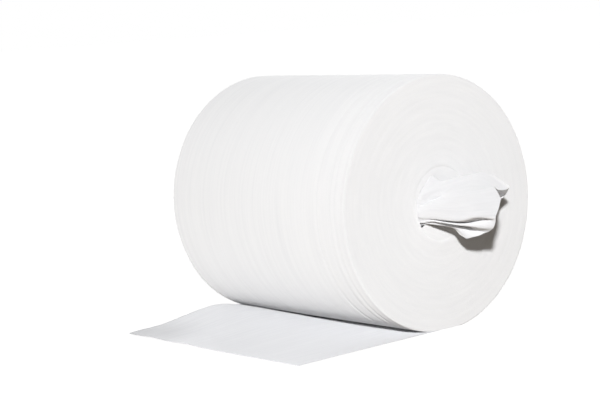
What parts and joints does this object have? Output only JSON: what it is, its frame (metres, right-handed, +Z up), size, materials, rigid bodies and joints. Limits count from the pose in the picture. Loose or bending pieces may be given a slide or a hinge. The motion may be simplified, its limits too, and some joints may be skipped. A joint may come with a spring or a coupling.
{
  "type": "nonwoven wipe roll",
  "caption": "Coreless centre-pull roll of white nonwoven wipe, lying on its side with its loose outer end flat on the table and the gathered inner end pulled out of the middle hole.",
  "frame": {"origin": "on the table, in the middle of the flat spot that the roll rests on, straight below the middle of the roll's axis", "axes": "+Y along the roll's axis, away from the end that the wipes are pulled from; +Z up; the loose outer end of the web lies toward -X"},
  "size_m": [0.2375, 0.2615, 0.1854],
  "materials": {
    "nonwoven": "soft matt white spunlace"
  },
  "bodies": {
    "root": {"wipe_roll": "nonwoven"}
  },
  "joints": []
}
